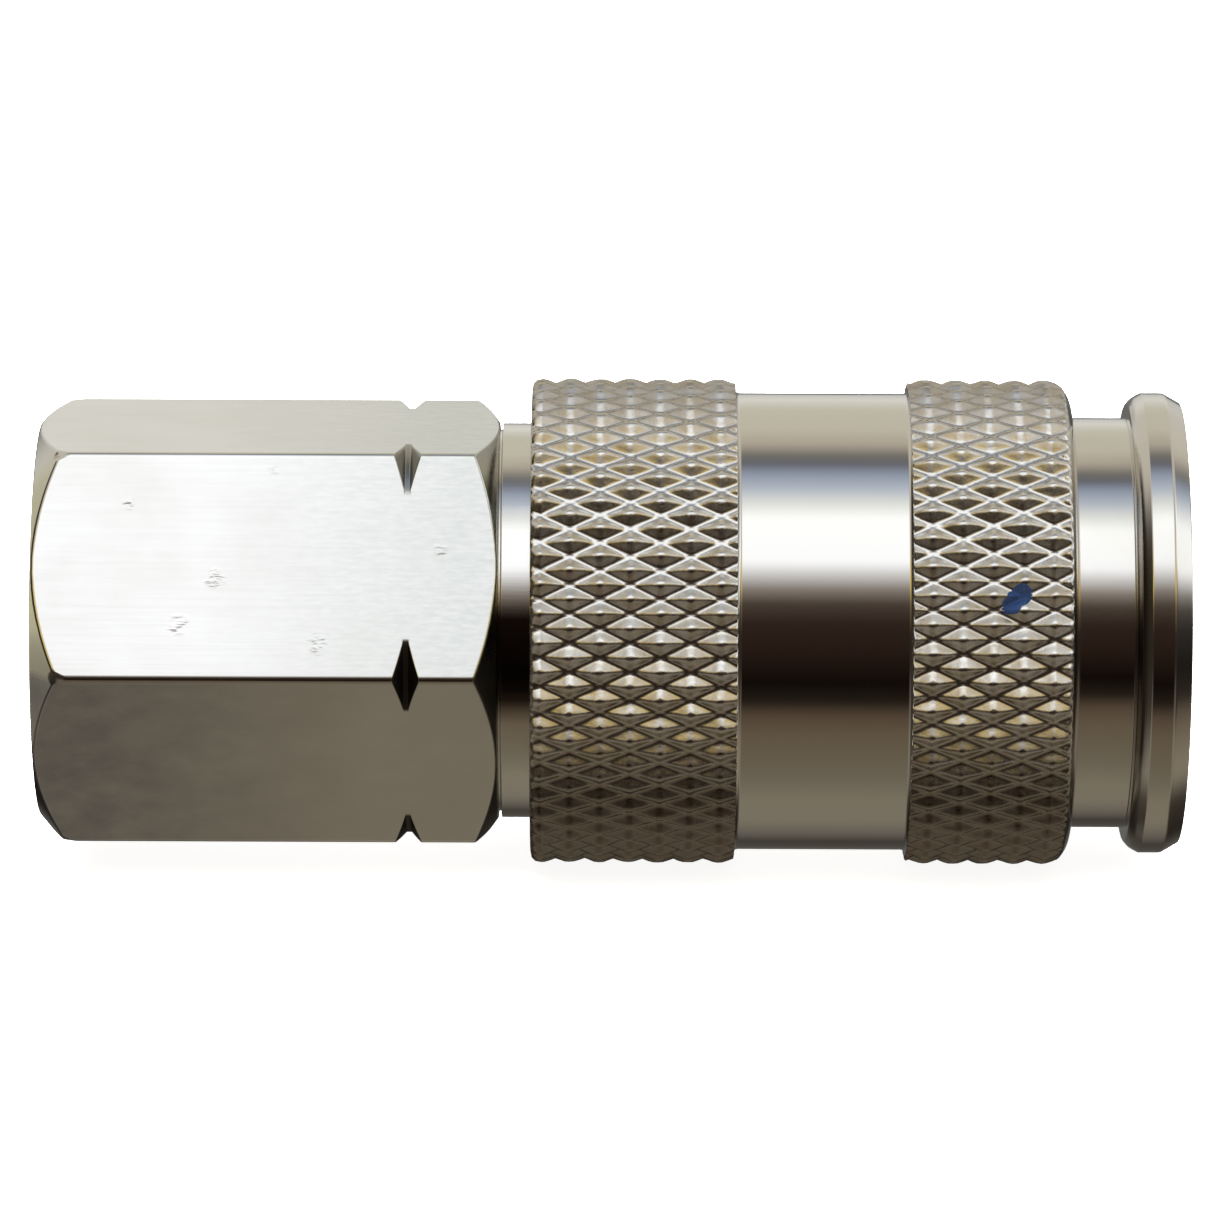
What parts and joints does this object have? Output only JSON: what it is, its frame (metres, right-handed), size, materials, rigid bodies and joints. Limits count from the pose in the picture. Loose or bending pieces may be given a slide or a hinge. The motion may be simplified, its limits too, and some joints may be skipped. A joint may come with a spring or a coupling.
{
  "type": "quick disconnect coupler",
  "caption": "Push-to-connect compressed air coupler, female half: hexagon adapter with a threaded port, knurled sliding sleeve, ball-lock nose and shut-off valve.",
  "frame": {"origin": "centre of the bounding box, on the coupler's axis", "axes": "+X along the axis from the threaded port to the plug socket; +Z square to the hexagon's upper flat; +Y across its corners"},
  "size_m": [0.0542, 0.023, 0.023],
  "materials": {
    "nickel_plate": "satin",
    "nickel_plate_knurled": "satin",
    "bare_brass": "satin",
    "hard_steel": "gloss",
    "spring_steel": "satin",
    "seal_rubber": "matte",
    "blue_paint": "gloss"
  },
  "bodies": {
    "body": {"adapter_body": "nickel_plate", "nose_body": "nickel_plate", "body_gasket": "seal_rubber", "plug_seal": "seal_rubber", "seal_clamp_ring": "bare_brass", "spring_spider": "bare_brass", "rear_spring_washer": "hard_steel", "keeper_spring": "spring_steel", "valve_spring": "spring_steel"},
    "spring_carrier": {"sleeve_spring": "spring_steel"},
    "washer_carrier": {"thrust_washer": "hard_steel"},
    "grip": {"sleeve": "nickel_plate_knurled"},
    "keeper": {"ball_keeper": "bare_brass"},
    "valve": {"valve_poppet": "bare_brass", "valve_seal": "seal_rubber"},
    "ball_1": {"ball_1": "hard_steel"},
    "ball_2": {"ball_2": "hard_steel"},
    "ball_3": {"ball_3": "hard_steel"},
    "ball_4": {"ball_4": "hard_steel"},
    "ball_5": {"ball_5": "hard_steel"},
    "ball_6": {"ball_6": "hard_steel"}
  },
  "joints": [
    {"name": "sleeve_snap", "type": "slide", "parent": "body", "child": "spring_carrier", "axis": [1, 0, 0], "range_m": [0, 0.00235], "deforming": ["sleeve_spring"]},
    {"name": "sleeve_pull", "type": "slide", "parent": "spring_carrier", "child": "washer_carrier", "axis": [1, 0, 0], "range_m": [-0.0014, 0], "stiffness_N_per_m": 2500, "springref_m": 0.003, "deforming": ["sleeve_spring"]},
    {"name": "sleeve_spin", "type": "hinge", "parent": "washer_carrier", "child": "grip", "pos_m": [0, 0, 0], "axis": [1, 0, 0], "continuous": true},
    {"name": "keeper_travel", "type": "slide", "parent": "body", "child": "keeper", "axis": [-1, 0, 0], "range_m": [0, 0.004], "deforming": ["keeper_spring"]},
    {"name": "valve_travel", "type": "slide", "parent": "body", "child": "valve", "axis": [-1, 0, 0], "range_m": [0, 0.004], "deforming": ["valve_spring"]},
    {"name": "ball_1_travel", "type": "slide", "parent": "body", "child": "ball_1", "axis": [0, 0, -1], "range_m": [0, 0.0008]},
    {"name": "ball_2_travel", "type": "slide", "parent": "body", "child": "ball_2", "axis": [0, -0.866, -0.5], "range_m": [0, 0.0008]},
    {"name": "ball_3_travel", "type": "slide", "parent": "body", "child": "ball_3", "axis": [0, -0.866, 0.5], "range_m": [0, 0.0008]},
    {"name": "ball_4_travel", "type": "slide", "parent": "body", "child": "ball_4", "axis": [0, 0, 1], "range_m": [0, 0.0008]},
    {"name": "ball_5_travel", "type": "slide", "parent": "body", "child": "ball_5", "axis": [0, 0.866, 0.5], "range_m": [0, 0.0008]},
    {"name": "ball_6_travel", "type": "slide", "parent": "body", "child": "ball_6", "axis": [0, 0.866, -0.5], "range_m": [0, 0.0008]}
  ],
  "couplings": [
    {"joint": "keeper_travel", "follows": "sleeve_snap", "ratio": 1.7},
    {"joint": "valve_travel", "follows": "sleeve_snap", "ratio": 1.7},
    {"joint": "ball_1_travel", "follows": "sleeve_snap", "ratio": 0.34},
    {"joint": "ball_2_travel", "follows": "sleeve_snap", "ratio": 0.34},
    {"joint": "ball_3_travel", "follows": "sleeve_snap", "ratio": 0.34},
    {"joint": "ball_4_travel", "follows": "sleeve_snap", "ratio": 0.34},
    {"joint": "ball_5_travel", "follows": "sleeve_snap", "ratio": 0.34},
    {"joint": "ball_6_travel", "follows": "sleeve_snap", "ratio": 0.34}
  ]
}
